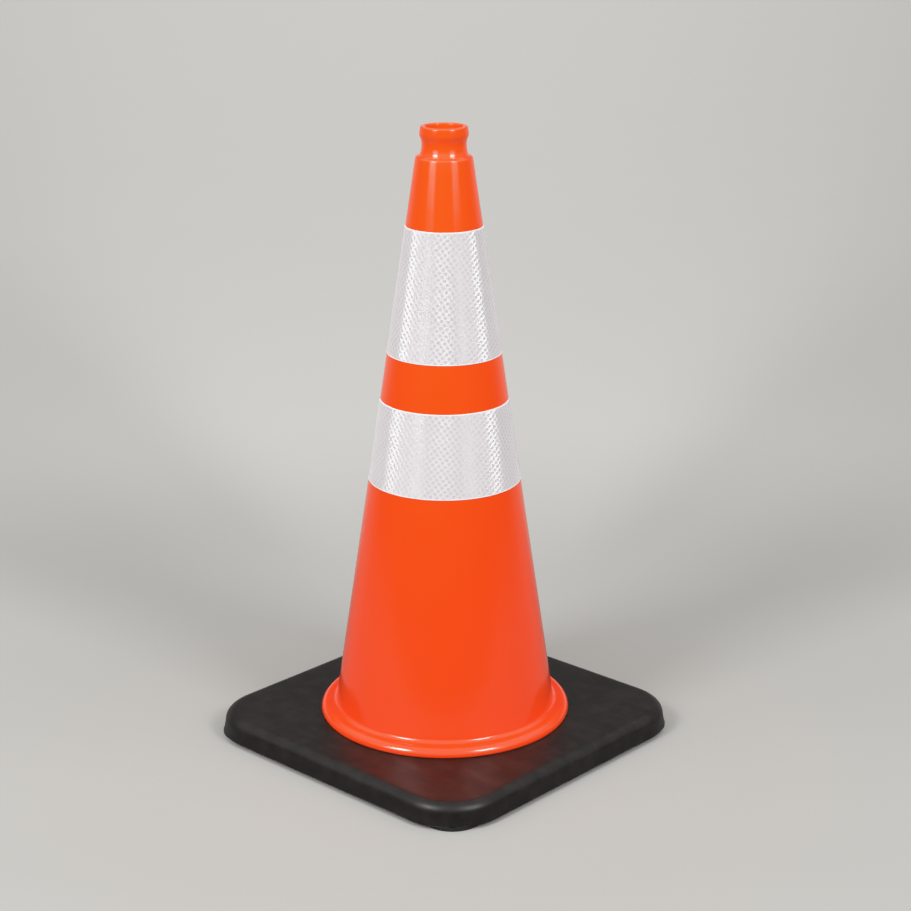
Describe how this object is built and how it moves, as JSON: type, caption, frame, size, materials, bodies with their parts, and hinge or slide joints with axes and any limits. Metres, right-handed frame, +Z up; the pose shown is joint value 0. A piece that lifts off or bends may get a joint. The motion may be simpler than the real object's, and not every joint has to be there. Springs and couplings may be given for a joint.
{
  "type": "traffic cone",
  "caption": "Free-standing road cone: a hollow orange shell locked through a heavy black square base on rubber pads, with two wide white reflective collars.",
  "frame": {"origin": "on the floor under the cone's axis, at the plane that the foot pads rest on", "axes": "+Z up along the cone's axis; +X and +Y square to the base's sides; the collars' overlap seams face +Y, the back"},
  "size_m": [0.429, 0.429, 0.75],
  "materials": {
    "orange_pvc": "fluorescent orange PVC, satin gloss",
    "black_base": "black recycled rubber compound, satin",
    "pad_rubber": "soft black rubber, matte",
    "collar_lens": "white prismatic retroreflective film",
    "collar_backing": "white vinyl backing film"
  },
  "bodies": {
    "root": {"cone_body": "orange_pvc", "base_slab": "black_base", "foot_pad_front_right": "pad_rubber", "foot_pad_back_right": "pad_rubber", "foot_pad_back_left": "pad_rubber", "foot_pad_front_left": "pad_rubber", "upper_collar_backing": "collar_backing", "upper_collar_lens_film": "collar_lens", "lower_collar_backing": "collar_backing", "lower_collar_lens_film": "collar_lens"}
  },
  "joints": []
}
